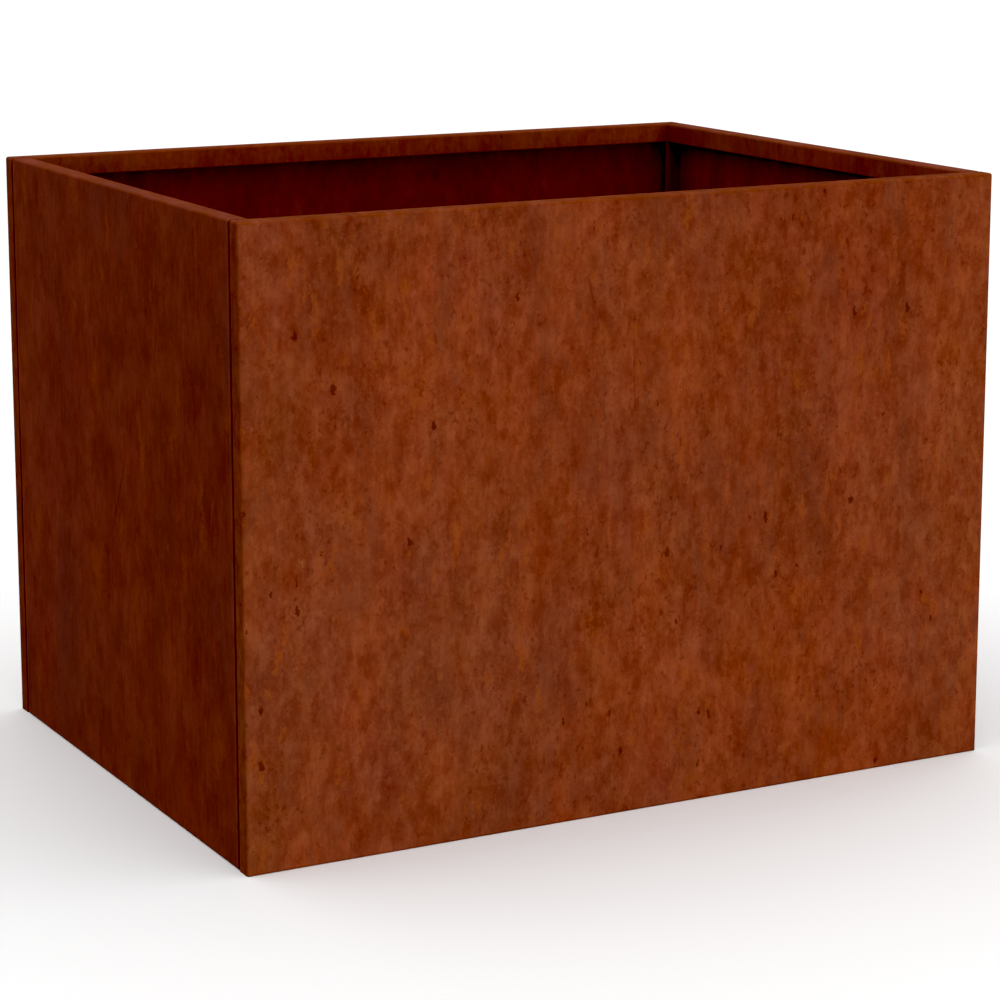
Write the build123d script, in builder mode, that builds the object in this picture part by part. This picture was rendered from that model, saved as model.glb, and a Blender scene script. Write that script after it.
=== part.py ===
from build123d import *
import os

# Planter box: four folded weathering-steel panels bolted together at the corners,
# with a drained base tray on two cross bearers inside.
# Millimetres. +X is the long side, -Y is the front, +Z is up.
# The origin is on the ground, at the middle of the footprint.

# Overall size
WIDTH = 600.0
DEPTH = 450.0
HEIGHT = 440.0

# Sheet and folds
SHEET = 1.2  # thickness of the four panels
BEND = 2.0  # outer radius of every bend
FOLD = 15.0  # width of the rim, of the lip below it and of the vertical edge folds
SEAM = 0.2  # gap between a long panel and an end panel
BOTTOM_FLANGE = 30.0  # how far the bottom edges turn in under the base
FLANGE_RELIEF = 1.0  # gap round the ends of the bottom flanges

# Base tray and the two hat-section bearers that carry it
BASE_SHEET = 1.5
BEARER_X = 150.0
BEARER_CROWN = 40.0
BEARER_FOOT = 16.0
BEARER_HEIGHT = 25.0
BEARER_LENGTH = 436.0
TRAY_GAP = 1.5  # gap between the tray and the walls
TRAY_NOTCH = (18.0, 24.0)  # corner cut-outs that clear the bolted corner flanges
DRAIN_RADIUS = 7.0
DRAIN_PITCH = (225.0, 110.0)

# Fasteners, as (shank radius, width across flats, head height, washer radius, washer thickness)
M5 = (2.5, 8.0, 3.5, 5.0, 1.0)
M6 = (3.0, 10.0, 4.0, 6.0, 1.6)
M5_NUT_HEIGHT = 4.7
M6_NUT_HEIGHT = 5.2
CLEARANCE = 0.25  # radial gap round a shank in a sheet or a washer
THREAD_GAP = 0.05  # radial gap between a shank and its nut
CORNER_BOLT_LENGTH = 12.0
CORNER_BOLT_HEIGHTS = (70.0, 210.0, 350.0)
CORNER_BOLT_INSET = 8.0  # from the outer face of the end wall to the bolt
TRAY_BOLT_LENGTH = 14.0
TRAY_BOLT_Y = 110.0 / 2
STUD_LENGTH = 14.0
STUD_HEAD_RADIUS = 4.5
STUD_HEAD_THICKNESS = 0.6
STUD_RECESS = 0.1  # the stud heads sit this far above the ground

# Places that follow from the sizes above
INNER_X = WIDTH / 2 - FOLD
INNER_Y = DEPTH / 2 - FOLD
END_LENGTH = 2 * (INNER_Y - SEAM)
LIP_BOTTOM = HEIGHT - FOLD
BOTTOM_INNER_X = WIDTH / 2 - BOTTOM_FLANGE
BOTTOM_INNER_Y = DEPTH / 2 - BOTTOM_FLANGE
LONG_FLANGE_END = INNER_X - FLANGE_RELIEF
END_FLANGE_END = BOTTOM_INNER_Y - FLANGE_RELIEF
CORNER_BOLT_X = WIDTH / 2 - CORNER_BOLT_INSET
CROWN_TOP = SHEET + BEARER_HEIGHT
TRAY_TOP = CROWN_TOP + BASE_SHEET
STUD_X = BEARER_CROWN / 2 + BEARER_FOOT / 2
STUD_Y = (DEPTH / 2 + BOTTOM_INNER_Y) / 2 - 2.0
STUD_PLACES = [
    (side * BEARER_X + foot * STUD_X, end * STUD_Y)
    for side in (-1, 1)
    for foot in (-1, 1)
    for end in (-1, 1)
]
TRAY_BOLT_PLACES = [(side * BEARER_X, end * TRAY_BOLT_Y) for side in (-1, 1) for end in (-1, 1)]


# ---------------------------------------------------------------- long panels
with BuildPart() as front_panel:
    # A closed block as thick as the folds, rounded at every bend, then hollowed to sheet
    with BuildSketch(Plane.XY):
        with Locations((0, -(DEPTH - FOLD) / 2)):
            Rectangle(WIDTH, FOLD)
    extrude(amount=HEIGHT)
    upright_bends = front_panel.edges().filter_by(Axis.Z)
    rim_bends = front_panel.edges().group_by(Axis.Z)[-1]
    bottom_bend = front_panel.edges().group_by(Axis.Z)[0].sort_by(Axis.Y)[0]
    fillet(upright_bends + rim_bends + bottom_bend, BEND)
    offset(amount=-SHEET, mode=Mode.SUBTRACT)
    # The back is open between the two inner flanges, below the lip
    with BuildSketch(Plane.XZ.offset(INNER_Y)):
        with Locations((0, LIP_BOTTOM / 2)):
            Rectangle(2 * INNER_X, LIP_BOTTOM)
    extrude(amount=SHEET, mode=Mode.SUBTRACT)
    # The edge folds are open at the bottom
    with BuildSketch(Plane.XY):
        with Locations(*[(side * (WIDTH / 2 - SHEET - FOLD / 2), -(DEPTH - FOLD) / 2) for side in (-1, 1)]):
            Rectangle(FOLD, FOLD - 2 * SHEET)
    extrude(amount=BEND, mode=Mode.SUBTRACT)
    # Bottom flange
    with BuildSketch(Plane.XY):
        with Locations((0, -DEPTH / 2 + BEND)):
            Rectangle(2 * LONG_FLANGE_END, BOTTOM_FLANGE - BEND, align=(Align.CENTER, Align.MIN))
    extrude(amount=SHEET)
    # Holes: corner bolts through the inner flanges, pressed studs in the bottom flange
    with BuildSketch(Plane.XZ.offset(INNER_Y)):
        with Locations(*[(side * CORNER_BOLT_X, z) for side in (-1, 1) for z in CORNER_BOLT_HEIGHTS]):
            Circle(M5[0] + CLEARANCE)
    extrude(amount=SHEET, mode=Mode.SUBTRACT)
    with Locations(*[Location((x, y, 0), (180, 0, 0)) for x, y in STUD_PLACES if y < 0]):
        CounterBoreHole(
            radius=M6[0] + THREAD_GAP,
            counter_bore_radius=STUD_HEAD_RADIUS + THREAD_GAP,
            counter_bore_depth=STUD_RECESS + STUD_HEAD_THICKNESS,
            depth=2 * SHEET,
        )

with BuildPart() as rear_panel:
    mirror(front_panel.part, about=Plane.XZ)


# ----------------------------------------------------------------- end panels
with BuildPart() as left_panel:
    # The same folded block as a long panel, set between the two long panels
    with BuildSketch(Plane.XY):
        with Locations((-(WIDTH - FOLD) / 2, 0)):
            Rectangle(FOLD, END_LENGTH)
    extrude(amount=HEIGHT)
    upright_bends = left_panel.edges().filter_by(Axis.Z).group_by(Axis.X)[0]
    rim_bends = left_panel.edges().group_by(Axis.Z)[-1]
    bottom_bend = left_panel.edges().group_by(Axis.Z)[0].sort_by(Axis.X)[0]
    fillet(upright_bends + rim_bends + bottom_bend, BEND)
    offset(amount=-SHEET, mode=Mode.SUBTRACT)
    # The inner side is open below the lip, up to the bolting flanges at both ends
    with BuildSketch(Plane.YZ.offset(-INNER_X)):
        with Locations((0, LIP_BOTTOM / 2)):
            Rectangle(END_LENGTH - 2 * SHEET, LIP_BOTTOM)
    extrude(amount=-SHEET, mode=Mode.SUBTRACT)
    # The bottom is notched beside the bolting flanges
    with BuildSketch(Plane.XY):
        for end in (-1, 1):
            with Locations((-INNER_X, end * (END_LENGTH / 2 - SHEET))):
                Rectangle(
                    FOLD - SHEET,
                    END_LENGTH / 2 - SHEET - END_FLANGE_END,
                    align=(Align.MAX, Align.MAX if end > 0 else Align.MIN),
                )
    extrude(amount=BEND, mode=Mode.SUBTRACT)
    # Bottom flange
    with BuildSketch(Plane.XY):
        with Locations((-WIDTH / 2 + BEND, 0)):
            Rectangle(BOTTOM_FLANGE - BEND, 2 * END_FLANGE_END, align=(Align.MIN, Align.CENTER))
    extrude(amount=SHEET)
    # Corner bolt holes through both bolting flanges
    with BuildSketch(Plane.XZ):
        with Locations(*[(-CORNER_BOLT_X, z) for z in CORNER_BOLT_HEIGHTS]):
            Circle(M5[0] + CLEARANCE)
    extrude(amount=INNER_Y, both=True, mode=Mode.SUBTRACT)

with BuildPart() as right_panel:
    mirror(left_panel.part, about=Plane.YZ)


# ------------------------------------------------------------------ the base
with BuildPart() as left_bearer:
    # Hat section: a crown that carries the tray, two webs and two feet
    crown_x = (BEARER_CROWN - BASE_SHEET) / 2
    foot_x = BEARER_CROWN / 2 + BEARER_FOOT
    foot_z = SHEET + BASE_SHEET / 2
    crown_z = CROWN_TOP - BASE_SHEET / 2
    with BuildSketch(Plane.XZ.shift_origin((-BEARER_X, 0, 0))):
        with BuildLine():
            FilletPolyline(
                (-foot_x, foot_z),
                (-crown_x, foot_z),
                (-crown_x, crown_z),
                (crown_x, crown_z),
                (crown_x, foot_z),
                (foot_x, foot_z),
                radius=BEND,
            )
        trace(line_width=BASE_SHEET)
    extrude(amount=BEARER_LENGTH / 2, both=True)
    # Holes: studs through the feet, tray bolts through the crown
    with BuildSketch(Plane.XY):
        with Locations(*[place for place in STUD_PLACES + TRAY_BOLT_PLACES if place[0] < 0]):
            Circle(M6[0] + CLEARANCE)
    extrude(amount=CROWN_TOP, mode=Mode.SUBTRACT)

with BuildPart() as right_bearer:
    mirror(left_bearer.part, about=Plane.YZ)

with BuildPart() as base_tray:
    # A flat pan upside down: notched corners, edges turned down to the bottom flanges
    with BuildSketch(Plane.XY.offset(SHEET)):
        Rectangle(WIDTH - 2 * (SHEET + TRAY_GAP), DEPTH - 2 * (SHEET + TRAY_GAP))
        with Locations(*[(x * WIDTH / 2, y * DEPTH / 2) for x in (-1, 1) for y in (-1, 1)]):
            Rectangle(2 * TRAY_NOTCH[0], 2 * TRAY_NOTCH[1], mode=Mode.SUBTRACT)
    extrude(amount=TRAY_TOP - SHEET)
    edges_turned_down = (
        base_tray.edges()
        .group_by(Axis.Z)[-1]
        .filter_by(lambda edge: edge.length > 2 * max(TRAY_NOTCH))
    )
    fillet(edges_turned_down, BEND)
    offset(amount=-BASE_SHEET, openings=base_tray.faces().sort_by(Axis.Z)[0])
    # Drain holes between the bearers and bolt holes over them
    with BuildSketch(Plane.XY):
        with GridLocations(*DRAIN_PITCH, 3, 3):
            Circle(DRAIN_RADIUS)
        with Locations(*TRAY_BOLT_PLACES):
            Circle(M6[0] + CLEARANCE)
    extrude(amount=TRAY_TOP, mode=Mode.SUBTRACT)


# ------------------------------------------------------------------ fasteners
# Each one is made once about its own axis, with its seat at z = 0 and its head above it


def hex_blank(across_flats, height):
    """A hexagon with its top corners turned off."""
    with BuildPart() as blank:
        Cylinder(across_flats * 0.575, height, align=(Align.CENTER, Align.CENTER, Align.MIN))
        chamfer(blank.edges().sort_by(Axis.Z)[-1], across_flats * 0.04, across_flats * 0.08)
        with BuildSketch():
            RegularPolygon(across_flats / 2, 6, major_radius=False)
        extrude(amount=height, mode=Mode.INTERSECT)
    return blank.part


def hex_bolt(thread, length):
    """A hexagon-head bolt, its head above the seat and its shank below."""
    radius, across_flats, head_height = thread[:3]
    with BuildPart() as bolt:
        add(hex_blank(across_flats, head_height))
        Cylinder(radius, length, align=(Align.CENTER, Align.CENTER, Align.MAX))
        chamfer(bolt.edges().sort_by(Axis.Z)[0], radius * 0.2)
    return bolt.part


def hex_nut(thread, height):
    """A hexagon nut standing on its seat."""
    with BuildPart() as nut:
        add(hex_blank(thread[1], height))
        Hole(thread[0] + THREAD_GAP)
    return nut.part


def washer(thread):
    """A flat washer standing on its seat."""
    radius, thickness = thread[3:]
    with BuildPart() as ring:
        Cylinder(radius, thickness, align=(Align.CENTER, Align.CENTER, Align.MIN))
        Hole(thread[0] + CLEARANCE)
    return ring.part


def pressed_stud():
    """A self-clinching stud: a thin flush head below and a threaded shank above."""
    with BuildPart() as stud:
        with Locations((0, 0, STUD_RECESS)):
            Cylinder(STUD_HEAD_RADIUS, STUD_HEAD_THICKNESS, align=(Align.CENTER, Align.CENTER, Align.MIN))
            Cylinder(M6[0], STUD_LENGTH, align=(Align.CENTER, Align.CENTER, Align.MIN))
        chamfer(stud.edges().sort_by(Axis.Z)[-1], M6[0] * 0.2)
    return stud.part


def placed(item, seats):
    """One group of separate solids: the same item on each seat plane."""
    with BuildPart() as group:
        with Locations(*seats):
            add(item)
    return group.part


m5_washer = washer(M5)
m6_washer = washer(M6)
m6_nut = hex_nut(M6, M6_NUT_HEIGHT)
corner_bolt = hex_bolt(M5, CORNER_BOLT_LENGTH)
corner_nut = hex_nut(M5, M5_NUT_HEIGHT)
tray_bolt = hex_bolt(M6, TRAY_BOLT_LENGTH)


# Corner joints: heads and washers on the inside of the end panel's flange, nuts in the fold
groups = {}
for end, end_name in ((-1, "front"), (1, "rear")):
    for side, side_name in ((-1, "left"), (1, "right")):
        corner = f"{end_name}_{side_name}"
        inner_y = end * (INNER_Y - SEAM - SHEET)
        pocket_y = end * (INNER_Y + SHEET)
        inner_seats = []
        head_seats = []
        nut_seats = []
        for z in CORNER_BOLT_HEIGHTS:
            bolt_x = side * CORNER_BOLT_X
            inner_seats.append(Plane((bolt_x, inner_y, z), z_dir=(0, -end, 0)))
            head_seats.append(Plane((bolt_x, inner_y - end * M5[4], z), z_dir=(0, -end, 0)))
            nut_seats.append(Plane((bolt_x, pocket_y, z), z_dir=(0, end, 0)))
        groups[f"bolts_{corner}"] = placed(corner_bolt, head_seats)
        groups[f"washers_{corner}"] = placed(m5_washer, inner_seats)
        groups[f"nuts_{corner}"] = placed(corner_nut, nut_seats)

# Base joints: studs up through the bottom flanges, bolts down through the tray
foot_top = SHEET + BASE_SHEET
crown_bottom = CROWN_TOP - BASE_SHEET
groups["base_studs"] = placed(pressed_stud(), [Plane((x, y, 0)) for x, y in STUD_PLACES])
groups["base_stud_washers"] = placed(m6_washer, [Plane((x, y, foot_top)) for x, y in STUD_PLACES])
groups["base_stud_nuts"] = placed(m6_nut, [Plane((x, y, foot_top + M6[4])) for x, y in STUD_PLACES])
groups["tray_bolts"] = placed(tray_bolt, [Plane((x, y, TRAY_TOP + M6[4])) for x, y in TRAY_BOLT_PLACES])
groups["tray_washers"] = placed(m6_washer, [Plane((x, y, TRAY_TOP)) for x, y in TRAY_BOLT_PLACES])
groups["tray_nuts"] = placed(
    m6_nut, [Plane((x, y, crown_bottom), z_dir=(0, 0, -1)) for x, y in TRAY_BOLT_PLACES]
)


# --------------------------------------------------------------------- export
pieces = {
    "front_panel": front_panel.part,
    "rear_panel": rear_panel.part,
    "left_panel": left_panel.part,
    "right_panel": right_panel.part,
    "base_tray": base_tray.part,
    "left_bearer": left_bearer.part,
    "right_bearer": right_bearer.part,
    **groups,
}

os.makedirs("parts", exist_ok=True)
for name, piece in pieces.items():
    piece.label = name
    export_step(piece, f"parts/{name}.step")
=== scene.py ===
import math

import bpy
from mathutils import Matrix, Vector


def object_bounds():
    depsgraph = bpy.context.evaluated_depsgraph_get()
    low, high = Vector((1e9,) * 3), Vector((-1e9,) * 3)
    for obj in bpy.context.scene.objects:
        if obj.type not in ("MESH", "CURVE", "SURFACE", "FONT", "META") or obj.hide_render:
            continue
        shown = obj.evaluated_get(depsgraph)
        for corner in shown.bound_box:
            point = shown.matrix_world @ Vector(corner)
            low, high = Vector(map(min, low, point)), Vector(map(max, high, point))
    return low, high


# Studio picture of the planter box: camera, light, floor, and the looks of its sheet steel and fasteners.
# Metres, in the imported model's own frame: +X is the long side, -Y the front, +Z up.

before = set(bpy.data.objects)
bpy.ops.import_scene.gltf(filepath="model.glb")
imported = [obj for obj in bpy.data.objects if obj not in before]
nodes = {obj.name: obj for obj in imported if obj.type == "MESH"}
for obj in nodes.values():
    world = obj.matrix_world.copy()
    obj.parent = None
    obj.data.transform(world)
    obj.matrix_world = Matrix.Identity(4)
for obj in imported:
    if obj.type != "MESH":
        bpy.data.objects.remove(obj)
cad_low, cad_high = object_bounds()

# Camera, standing in front of the left corner and looking a little down
CAMERA_PLACE = (-1.0603, -2.0007, 0.6880)
CAMERA_YAW = 28.17  # degrees to the right of +Y
CAMERA_PITCH = 10.70  # degrees below the horizon
CAMERA_LENS = 108.95  # mm
CAMERA_SHIFT_Y = -0.10

# Light: a soft surround that is brighter above, a broad lamp low in front and a broader one overhead
SKY_ABOVE = 0.73
SKY_BELOW = 0.12
SKY_BLEND = 0.5  # the surround changes over the directions whose Z is within this of 0
KEY_STRENGTH = 1.59
KEY_ELEVATION = -2.1  # degrees above the horizon, so a little below it
KEY_SOFTNESS = 14.0  # degrees across
TOP_STRENGTH = 1.18
TOP_ELEVATION = 90.0
TOP_SOFTNESS = 90.0
BLACK_LEVEL = 0.0166  # tones up to this, in linear light, are shown as black

# Floor
FLOOR_HALF = 60.0
FLOOR_Z = 0.00015  # a hair above the lowest faces, so that they don't lie in the floor's own plane
FLOOR_WHITE = 0.99


# ------------------------------------------------------------------ node helpers
class Graph:
    """A short way to add shader nodes and join them.

    A value is a number, a tuple or another node's socket.
    """

    def __init__(self, owner):
        self.tree = owner.node_tree
        self.tree.nodes.clear()

    def put(self, value, socket):
        """Links a socket to an input, or sets the input to a constant."""
        if isinstance(value, bpy.types.NodeSocket):
            self.tree.links.new(value, socket)
        else:
            socket.default_value = value

    def add(self, kind, inputs=None, **settings):
        """Adds a node, sets its properties, then sets or links its inputs."""
        node = self.tree.nodes.new(kind)
        for key, value in settings.items():
            setattr(node, key, value)
        for key, value in (inputs or {}).items():
            self.put(value, node.inputs[key])
        return node

    def math(self, operation, a, b=0.0):
        return self.add("ShaderNodeMath", {0: a, 1: b}, operation=operation).outputs[0]

    def product(self, a, b):
        return self.math("MULTIPLY", a, b)

    def vector(self, operation, a, b, c=(0, 0, 0)):
        return self.add("ShaderNodeVectorMath", {0: a, 1: b, 2: c}, operation=operation).outputs[0]

    def split(self, vector):
        """The X, Y and Z of a vector."""
        return self.add("ShaderNodeSeparateXYZ", {"Vector": vector}).outputs

    def ramp(self, value, low, high, to_low=0.0, to_high=1.0, kind="SMOOTHSTEP"):
        """Maps low..high to to_low..to_high and stays there outside."""
        inputs = {"Value": value, "From Min": low, "From Max": high, "To Min": to_low, "To Max": to_high}
        return self.add("ShaderNodeMapRange", inputs, interpolation_type=kind).outputs["Result"]

    def near(self, value, target, inner, outer):
        """1 where value is within inner of target, falling to 0 at outer."""
        distance = self.math("ABSOLUTE", self.math("SUBTRACT", value, target))
        return self.ramp(distance, inner, outer, 1.0, 0.0)

    def mix(self, factor, a, b, blend="MIX"):
        """Mixes two colours. Sockets 6 and 7 are the node's colour inputs."""
        inputs = {0: factor, 6: a, 7: b}
        return self.add("ShaderNodeMix", inputs, data_type="RGBA", blend_type=blend).outputs[2]

    def vary(self, colour, field, spread, change):
        """Takes change off red, green and blue where field is low, and adds it where field is high.

        Low is 0.5 - spread and high is 0.5 + spread, and change is a share of the colour.
        """
        amount = self.ramp(field, 0.5 - spread, 0.5 + spread, kind="LINEAR")
        factor = self.mix(amount, rgb(*(1 - c for c in change)), rgb(*(1 + c for c in change)))
        return self.mix(1.0, colour, factor, blend="MULTIPLY")

    def noise(self, place, size, stretch=(1, 1, 1), seed=0.0, detail=4.0, roughness=0.6):
        """Cloudy noise about 0.5 whose largest features are about size metres, stretched along the axes."""
        scaled = self.vector("MULTIPLY", place, tuple(1 / (size * s) for s in stretch))
        inputs = {"Vector": scaled, "W": seed, "Scale": 1.0, "Detail": detail, "Roughness": roughness}
        return self.add("ShaderNodeTexNoise", inputs, noise_dimensions="4D").outputs["Fac"]

    def cells(self, place, size, stretch=(1, 1, 1)):
        """Cells about size metres wide.

        Gives a random value for each cell, and the distance to its centre in cell widths.
        """
        scaled = self.vector("MULTIPLY", place, tuple(1 / (size * s) for s in stretch))
        node = self.add("ShaderNodeTexVoronoi", {"Vector": scaled, "Scale": 1.0, "Randomness": 1.0})
        value = self.add("ShaderNodeSeparateColor", {"Color": node.outputs["Color"]}).outputs["Red"]
        return value, node.outputs["Distance"]


def rgb(r, g, b):
    return (r, g, b, 1.0)


def new_material(name):
    material = bpy.data.materials.new(name)
    material.use_nodes = True
    return material, Graph(material)


# ------------------------------------------------------------------- rusty steel
RUST = rgb(0.2025, 0.0470, 0.0220)
ORANGE = rgb(0.268, 0.0640, 0.0200)
PATINA = rgb(0.150, 0.0465, 0.0275)
CHIP = rgb(0.280, 0.0880, 0.0380)
# painted highlight for the end panels' bends beside the seams
SEAM_HIGHLIGHT = rgb(0.250, 0.0700, 0.0380)
# painted shade for the rim top and its bend, which takes off light the lamps throw there
RIM_SHADE = rgb(0.155, 0.0340, 0.0080)
PIT = rgb(0.070, 0.0130, 0.0100)
# painted shade for the seams between the panels
SEAM_SHADE = rgb(0.040, 0.0080, 0.0060)
TIDE = rgb(0.300, 0.1300, 0.0650)
DAMP = rgb(0.070, 0.0170, 0.0090)

# How far each field of the mottling carries red, green and blue either way, as a share of the colour.
# Then bloom is how much of it the orange bloom covers, and holes scales the chips, flecks, pits and cracks.
# The long panels are grainy, the rear one less so, and the end panels are smoother and more drawn out.
LONG_PANEL = {
    "fine": (0.155, 0.235, 0.200),
    "flakes": (0.060, 0.092, 0.080),
    "dash": (0.048, 0.070, 0.060),
    "broad": (0.180, 0.130, 0.040),
    "cloud": (0.030, 0.175, 0.140),
    "ochre": (0.000, 0.075, 0.045),
    "film": (-0.030, 0.030, 0.190),
    "bloom": 0.72,
    "holes": 1.0,
}
REAR_PANEL = LONG_PANEL | {
    "fine": (0.110, 0.165, 0.140),
    "broad": (0.110, 0.080, 0.025),
    "bloom": 0.40,
    "holes": 0.5,
}
END_PANEL = {
    "fine": (0.140, 0.130, 0.080),
    "flakes": (0.022, 0.024, 0.018),
    "dash": (0.070, 0.076, 0.050),
    "broad": (0.120, 0.085, 0.045),
    "cloud": (0.090, 0.060, 0.030),
    "ochre": (0.000, 0.100, 0.030),
    "film": (-0.020, 0.020, 0.070),
    "bloom": 0.80,
    "holes": 0.45,
}
END_GRAIN = (1.0, 2.2, 2.0)  # how much coarser the end panels' pattern is along x, y and z

# How much of the colour below it each kind of mark hides where it is strongest
PATINA_COVER = 0.42
CHIP_COVER = 0.20
FLECK_COVER = 0.42
PIT_COVER = 0.75
CRACK_COVER = 0.30
# painted shade in the seams
SEAM_SHADE_COVER = 0.70
RUN_LINE_COVER = 0.40
SPLASH_COVER = 0.12
DAMP_COVER = 0.70
TIDE_COVER = 0.14

# The same for the painted shade on the rim and the painted highlight beside the seams, which the patch
# noise scales from the least share below to one more than it
RIM_SHADE_COVER = 0.50
SEAM_HIGHLIGHT_COVER = 0.35
LEAST_PATCHINESS = 0.35

# Where things are on the box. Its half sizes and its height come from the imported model.
HALF_X, HALF_Y, TOP_Z = cad_high
FOLD = 0.015  # width of the rim and of the folds at the ends of the long panels
SEAM_Y = HALF_Y - FOLD
SEAM_HIGHLIGHT_INSET = 0.0030  # from the seam to the painted highlight line beside it, on the end panel's bend
DRAIN_PITCH = (0.225, 0.110)  # from hole to hole along x and y
TIDE_RADIUS = 0.036  # from a drain hole's centre to the tide line
STAIN_WOBBLE = 0.110  # how far the stains' outlines wander, for a full swing of their noise
SPLASH_WOBBLE = 0.02  # how much lower the splashes end where the patch noise is high

# Pairs of distances: a mark is at its full strength up to the first, and gone at the second
RIM_SHADE_BAND = (0.0014, 0.0026)  # below the top of the rim
SEAM_HIGHLIGHT_BAND = (0.0008, 0.0022)  # from the middle of the painted highlight line
SEAM_HIGHLIGHT_DEPTH = (0.0005, 0.0025)  # in from the end of the box
# The painted shade in the seams:
SEAM_SHADE_BAND = (0.0004, 0.0022)  # from the seam
SEAM_SHADE_DEPTH = (0.0125, 0.0135)  # in from the end of the box
SPLASH_HEIGHT = (0.010, 0.120)
DAMP_RADIUS = (0.010, 0.040)
TIDE_BAND = (0.0005, 0.0060)  # from the tide line
STAINED_Y = (0.150, 0.165)  # short of where a further row of drain holes would be

# The fine noise that breaks up outlines: its scale, and how far it moves a point along x, y and z
SHAKE_SCALE = 260.0
RAGGED = (0.007, 0.007, 0.007)
FRAYED = (0.006, 0.006, 0.010)

# Relief, as a share of the fine grains' own
TOOTH_HEIGHT = 0.5
FLAKE_HEIGHT = 0.25
HOLE_DEPTH = 0.9

PIT_RADIUS = 0.22  # of the widest pits, in cell widths
MATT = (0.94, 0.86)  # roughness of the rust, from its hollows to its high grains


class Surface:
    """The coordinates that a steel material is drawn in, as sockets.

    where is the true place. place has the panel's grain divided out of it, so what is drawn in it comes
    out coarser. ragged and frayed are the same two, shaken by a fine noise that breaks up outlines.
    """

    def __init__(self, g, grain):
        self.where = g.add("ShaderNodeTexCoord").outputs["Object"]
        self.x, self.y, self.z = g.split(self.where)
        self.place = g.vector("DIVIDE", self.where, grain)
        inputs = {"Vector": self.where, "Scale": SHAKE_SCALE, "Detail": 3.0, "Roughness": 0.7}
        shake = g.add("ShaderNodeTexNoise", inputs).outputs["Color"]
        self.ragged = g.vector("MULTIPLY_ADD", shake, RAGGED, self.where)
        self.frayed = g.vector("MULTIPLY_ADD", shake, FRAYED, self.place)


def mottle(g, at, seed, look):
    """The rust's colour: mottling from fine grains to broad clouds, each scale with its own hue.

    Also gives the fine grains and the flakes, which the bump follows.
    """
    fine = g.noise(at.frayed, 0.0115, (1, 1, 1.7), seed, detail=3, roughness=0.76)
    flakes, _ = g.cells(at.ragged, 0.0050, (1, 1, 1.5))
    dash = g.noise(at.where, 0.0040, (1, 1, 6.0), seed + 5, detail=2, roughness=0.7)
    broad = g.noise(at.place, 0.078, (1, 1, 3.2), seed + 1, detail=2, roughness=0.95)
    cloud = g.noise(at.place, 0.240, (1, 1, 2.2), seed + 2, detail=1, roughness=0.6)
    ochre = g.noise(at.place, 0.024, (1, 1, 2.0), seed + 3, detail=3, roughness=0.9)
    film = g.noise(at.place, 0.090, (1, 1, 1.6), seed + 4, detail=4, roughness=0.75)
    colour = g.vary(RUST, fine, 0.12, look["fine"])
    colour = g.vary(colour, flakes, 0.50, look["flakes"])
    colour = g.vary(colour, dash, 0.12, look["dash"])
    colour = g.vary(colour, broad, 0.19, look["broad"])
    colour = g.vary(colour, cloud, 0.28, look["cloud"])
    colour = g.vary(colour, ochre, 0.19, look["ochre"])
    colour = g.vary(colour, film, 0.19, look["film"])
    return colour, fine, flakes


def blooms(g, colour, at, seed, look):
    """Young orange rust, old brown patina and pale chips over the mottling."""
    bloom = g.noise(at.frayed, 0.012, (1, 1, 2.6), seed + 6, detail=3, roughness=0.75)
    colour = g.mix(g.ramp(bloom, 0.550, 0.690, 0.0, look["bloom"]), colour, ORANGE)
    patina = g.noise(at.place, 0.045, (1, 1, 3.0), seed + 16, detail=4, roughness=0.75)
    colour = g.mix(g.ramp(patina, 0.520, 0.650, 0.0, PATINA_COVER), colour, PATINA)
    crowd = g.ramp(g.noise(at.where, 0.045, (1, 1, 1.8), seed + 18, detail=2), 0.38, 0.68, 0.0, 0.06)
    chip = g.noise(at.where, 0.0040, (1, 1, 1.3), seed + 17, detail=2)
    chips = g.ramp(g.math("ADD", chip, crowd), 0.600, 0.700, 0.0, CHIP_COVER)
    return g.mix(g.product(chips, look["holes"]), colour, CHIP)


def holes(g, at, seed):
    """Where the skin has flaked: crowds of small flecks, a few larger pits and short cracks."""
    crowd = g.ramp(g.noise(at.where, 0.060, (1, 1, 1.5), seed + 8, detail=1), 0.35, 0.70, 0.0, 0.06)
    fleck = g.noise(at.where, 0.0042, (1, 1, 1.4), seed + 7, detail=2)
    flecks = g.ramp(g.math("ADD", fleck, crowd), 0.615, 0.745, 0.0, FLECK_COVER)

    # About one cell in six has a pit, and the higher the cell's value, the darker and wider it is
    value, distance = g.cells(at.ragged, 0.0092, (1, 1, 2.1))
    depth = g.ramp(value, 0.84, 1.0)
    reach = g.math("SUBTRACT", g.product(depth, PIT_RADIUS), distance)
    pits = g.product(g.ramp(reach, -0.03, 0.04), g.ramp(depth, 0.0, 0.25, 0.0, PIT_COVER))

    # Cracks follow one contour of a noise, in patches
    contour = g.noise(at.where, 0.0060, (1, 1, 1.2), seed + 14, detail=3, roughness=0.7)
    patches = g.noise(at.where, 0.035, (1, 1, 1.5), seed + 15, detail=2)
    shown = g.ramp(patches, 0.44, 0.58, 0.0, CRACK_COVER)
    cracks = g.product(g.near(contour, 0.46, 0.004, 0.018), shown)
    return g.math("MAXIMUM", g.math("MAXIMUM", flecks, pits), cracks)


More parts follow.
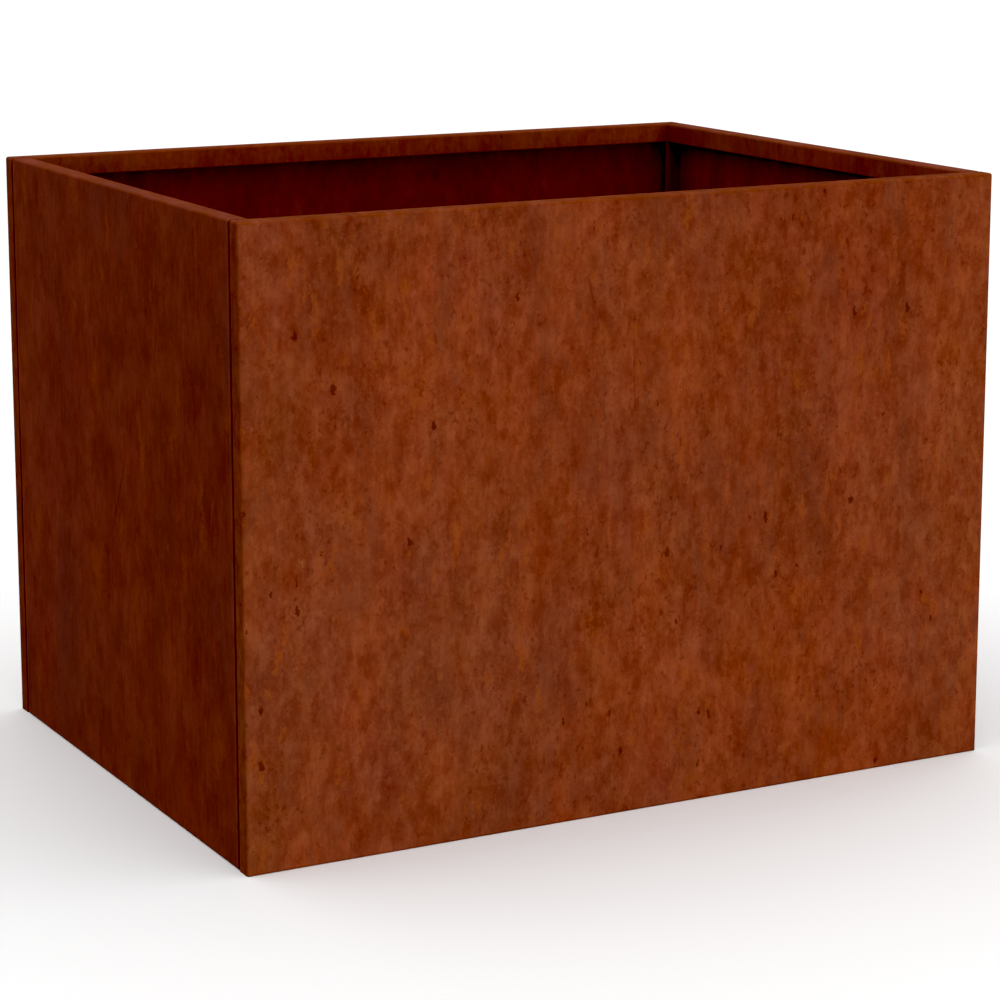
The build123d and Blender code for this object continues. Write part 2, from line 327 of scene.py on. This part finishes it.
def weathering_and_painted_light(g, colour, at, seed):
    """Painted shade on the rim and its top bend, a painted highlight beside the seams and painted shade in
    them; then signs of use: faint run lines, splashes low down.
    """
    patch = g.ramp(g.noise(at.place, 0.012, seed=seed + 10, detail=3), 0.40, 0.62)
    patchiness = g.math("ADD", patch, LEAST_PATCHINESS)
    side_x = g.math("ABSOLUTE", at.x)
    side_y = g.math("ABSOLUTE", at.y)
    # Painted shade on the rim top and the bend below it, patchy with the patch noise
    rim = g.ramp(at.z, TOP_Z - RIM_SHADE_BAND[1], TOP_Z - RIM_SHADE_BAND[0], 0.0, RIM_SHADE_COVER)
    colour = g.mix(g.product(rim, patchiness), colour, RIM_SHADE)
    # A painted highlight where the end panel's bend beside each seam would catch the light
    seam_highlight = g.product(
        g.near(side_y, SEAM_Y - SEAM_HIGHLIGHT_INSET, *SEAM_HIGHLIGHT_BAND),
        g.ramp(side_x, HALF_X - SEAM_HIGHLIGHT_DEPTH[1], HALF_X - SEAM_HIGHLIGHT_DEPTH[0], 0.0, SEAM_HIGHLIGHT_COVER),
    )
    colour = g.mix(g.product(seam_highlight, patchiness), colour, SEAM_HIGHLIGHT)
    # Painted shade in the seams, darkening the crevices between the panels
    seam_shade = g.product(
        g.near(side_y, SEAM_Y, *SEAM_SHADE_BAND),
        g.ramp(side_x, HALF_X - SEAM_SHADE_DEPTH[1], HALF_X - SEAM_SHADE_DEPTH[0], 0.0, SEAM_SHADE_COVER),
    )
    colour = g.mix(seam_shade, colour, SEAM_SHADE)

    contour = g.noise(at.place, 0.110, (1, 1, 6.0), seed + 11, detail=1)
    shown = g.ramp(g.noise(at.place, 0.070, seed=seed + 12, detail=1), 0.60, 0.68, 0.0, RUN_LINE_COVER)
    run_lines = g.product(g.near(contour, 0.5, 0.0008, 0.0032), shown)
    colour = g.mix(run_lines, colour, PIT)

    height = g.math("ADD", at.z, g.product(patch, SPLASH_WOBBLE))
    return g.mix(g.ramp(height, *SPLASH_HEIGHT, SPLASH_COVER, 0.0), colour, DAMP)


def drain_stains(g, colour, at, seed):
    """Damp round the nearest drain hole, ended by a pale tide line."""
    from_column = g.math("PINGPONG", at.x, DRAIN_PITCH[0] / 2)
    from_row = g.math("PINGPONG", at.y, DRAIN_PITCH[1] / 2)
    squares = g.math("ADD", g.math("POWER", from_column, 2.0), g.math("POWER", from_row, 2.0))
    wobble = g.noise(at.place, 0.045, seed=seed + 13, detail=5, roughness=0.65)
    shift = g.product(g.math("SUBTRACT", wobble, 0.5), STAIN_WOBBLE)
    radius = g.math("ADD", g.math("SQRT", squares), shift)
    inside = g.ramp(g.math("ABSOLUTE", at.y), *STAINED_Y, 1.0, 0.0)
    damp = g.product(g.ramp(radius, *DAMP_RADIUS, DAMP_COVER, 0.0), inside)
    tide = g.product(g.near(radius, TIDE_RADIUS, *TIDE_BAND), g.product(inside, TIDE_COVER))
    return g.mix(tide, g.mix(damp, colour, DAMP), TIDE)


def rusty_steel(name, seed, look=LONG_PANEL, grain=(1.0, 1.0, 1.0), tint=(1.0, 1.0, 1.0), drained=False):
    """A settled, dead matt rust skin. The tint scales its red, green and blue."""
    material, g = new_material(name)
    at = Surface(g, grain)
    colour, fine, flakes = mottle(g, at, seed, look)
    colour = blooms(g, colour, at, seed, look)
    hole = g.product(holes(g, at, seed), look["holes"])
    colour = g.mix(hole, colour, PIT)
    colour = g.mix(1.0, colour, rgb(*tint), blend="MULTIPLY")
    colour = weathering_and_painted_light(g, colour, at, seed)
    if drained:
        colour = drain_stains(g, colour, at, seed)

    tooth = g.noise(at.place, 0.0022, seed=seed + 9, detail=3, roughness=0.7)
    height = g.math("ADD", g.product(tooth, TOOTH_HEIGHT), fine)
    height = g.math("ADD", height, g.product(flakes, FLAKE_HEIGHT))
    height = g.math("SUBTRACT", height, g.product(hole, HOLE_DEPTH))
    bump = g.add("ShaderNodeBump", {"Height": height, "Strength": 0.30, "Distance": 0.0005})
    shader = g.add("ShaderNodeBsdfPrincipled", {
        "Base Color": colour,
        "Roughness": g.ramp(g.math("ADD", tooth, fine), 0.8, 1.2, *MATT),
        "Specular IOR Level": 0.03,
        "Normal": bump.outputs["Normal"],
    })
    g.add("ShaderNodeOutputMaterial", {"Surface": shader.outputs["BSDF"]})
    return material


# ------------------------------------------------------------------ zinc plating
ZINC_GREY = rgb(0.30, 0.29, 0.27)
ZINC_BRIGHT = rgb(0.52, 0.51, 0.48)
CREEPING_RUST = rgb(0.18, 0.060, 0.024)


def zinc_steel(name):
    """Zinc-plated fasteners: a dull bright plating with grey clouds and a little rust creeping in."""
    material, g = new_material(name)
    place = g.add("ShaderNodeTexCoord").outputs["Object"]
    cloud = g.noise(place, 0.006, seed=3.0, detail=4, roughness=0.7)
    colour = g.mix(g.ramp(cloud, 0.35, 0.65), ZINC_GREY, ZINC_BRIGHT)
    rust = g.ramp(g.noise(place, 0.004, seed=5.0, detail=4, roughness=0.7), 0.54, 0.62)
    colour = g.mix(rust, colour, CREEPING_RUST)
    scratch = g.noise(place, 0.0008, seed=7.0, detail=2)
    height = g.math("ADD", g.product(scratch, 0.4), cloud)
    bump = g.add("ShaderNodeBump", {"Height": height, "Strength": 0.25, "Distance": 0.0002})
    shader = g.add("ShaderNodeBsdfPrincipled", {
        "Base Color": colour,
        "Metallic": g.math("SUBTRACT", 1.0, rust),
        "Roughness": g.ramp(cloud, 0.35, 0.65, 0.55, 0.38),
        "Normal": bump.outputs["Normal"],
    })
    g.add("ShaderNodeOutputMaterial", {"Surface": shader.outputs["BSDF"]})
    return material


# ------------------------------------------------------- materials on the pieces
# What scales red, green and blue on the pieces whose rust differs from the front panel's
REAR_TINT = (0.96, 0.96, 1.05)
LEFT_TINT = (0.95, 0.92, 1.27)
RIGHT_TINT = (0.95, 1.00, 1.30)
BASE_TINT = (0.85, 0.80, 0.85)

# What the names of the plated pieces begin with
FASTENERS = ("bolts", "washers", "nuts", "base_stud", "tray_bolts", "tray_washers", "tray_nuts")


def give(node, material):
    """Puts one material in every slot of a CAD node."""
    for slot in nodes[node].material_slots:
        slot.material = material


# The seeds are 20 apart, because a material's noises take seeds up to 18 above its own
give("front_panel", rusty_steel("rust_front_panel", 0.0))
give("rear_panel", rusty_steel("rust_rear_panel", 20.0, REAR_PANEL, tint=REAR_TINT))
give("left_panel", rusty_steel("rust_left_panel", 40.0, END_PANEL, END_GRAIN, LEFT_TINT))
give("right_panel", rusty_steel("rust_right_panel", 60.0, END_PANEL, END_GRAIN, RIGHT_TINT))
give("base_tray", rusty_steel("rust_base_tray", 80.0, tint=BASE_TINT, drained=True))
give("left_bearer", rusty_steel("rust_left_bearer", 100.0, tint=BASE_TINT))
give("right_bearer", rusty_steel("rust_right_bearer", 120.0, tint=BASE_TINT))
plating = zinc_steel("zinc_plating")
for node in nodes:
    if node.startswith(FASTENERS):
        give(node, plating)


# ------------------------------------------------------------- floor and light
def make_floor():
    """A pale floor, wide enough to fill the picture, that adds no bounce light of its own."""
    mesh = bpy.data.meshes.new("floor")
    corners = [(x * FLOOR_HALF, y * FLOOR_HALF, FLOOR_Z) for x, y in ((-1, -1), (1, -1), (1, 1), (-1, 1))]
    mesh.from_pydata(corners, [], [(0, 1, 2, 3)])
    floor = bpy.data.objects.new("floor", mesh)
    bpy.context.collection.objects.link(floor)
    floor.visible_diffuse = False
    floor.visible_shadow = False
    material = bpy.data.materials.new("floor_paint")
    material.use_nodes = True
    shader = material.node_tree.nodes["Principled BSDF"]
    shader.inputs["Base Color"].default_value = rgb(FLOOR_WHITE, FLOOR_WHITE, FLOOR_WHITE)
    shader.inputs["Roughness"].default_value = 0.9
    shader.inputs["Specular IOR Level"].default_value = 0.0
    mesh.materials.append(material)


def make_world():
    """A soft white surround: the picture sees plain white, the object is lit by a brighter upper half."""
    world = bpy.data.worlds.new("studio")
    bpy.context.scene.world = world
    world.use_nodes = True
    g = Graph(world)
    direction = g.add("ShaderNodeTexCoord").outputs["Generated"]
    up = g.split(direction)["Z"]
    strength = g.ramp(up, -SKY_BLEND, SKY_BLEND, SKY_BELOW, SKY_ABOVE)
    lit = g.add("ShaderNodeBackground", {"Color": rgb(1, 1, 1), "Strength": strength})
    seen = g.add("ShaderNodeBackground", {"Color": rgb(1, 1, 1), "Strength": 1.0})
    camera_ray = g.add("ShaderNodeLightPath").outputs["Is Camera Ray"]
    both = g.add("ShaderNodeMixShader", {0: camera_ray, 1: lit.outputs[0], 2: seen.outputs[0]})
    g.add("ShaderNodeOutputWorld", {"Surface": both.outputs[0]})


def make_lamp(name, strength, elevation, softness):
    """A broad even light from the front. Its elevation and its width across are in degrees."""
    light = bpy.data.lights.new(name, "SUN")
    light.energy = strength
    light.angle = math.radians(softness)
    lamp = bpy.data.objects.new(name, light)
    bpy.context.collection.objects.link(lamp)
    lamp.rotation_euler = (math.radians(90 - elevation), 0, 0)


def make_camera():
    data = bpy.data.cameras.new("camera")
    data.lens = CAMERA_LENS
    data.shift_y = CAMERA_SHIFT_Y
    camera = bpy.data.objects.new("camera", data)
    bpy.context.collection.objects.link(camera)
    camera.location = CAMERA_PLACE
    camera.rotation_euler = (math.radians(90 - CAMERA_PITCH), 0, math.radians(-CAMERA_YAW))
    bpy.context.scene.camera = camera


make_floor()
make_world()
make_lamp("key", KEY_STRENGTH, KEY_ELEVATION, KEY_SOFTNESS)
make_lamp("top", TOP_STRENGTH, TOP_ELEVATION, TOP_SOFTNESS)
make_camera()

view = bpy.context.scene.view_settings
view.view_transform = "Standard"
view.use_curve_mapping = True
view.curve_mapping.black_level = (BLACK_LEVEL,) * 3
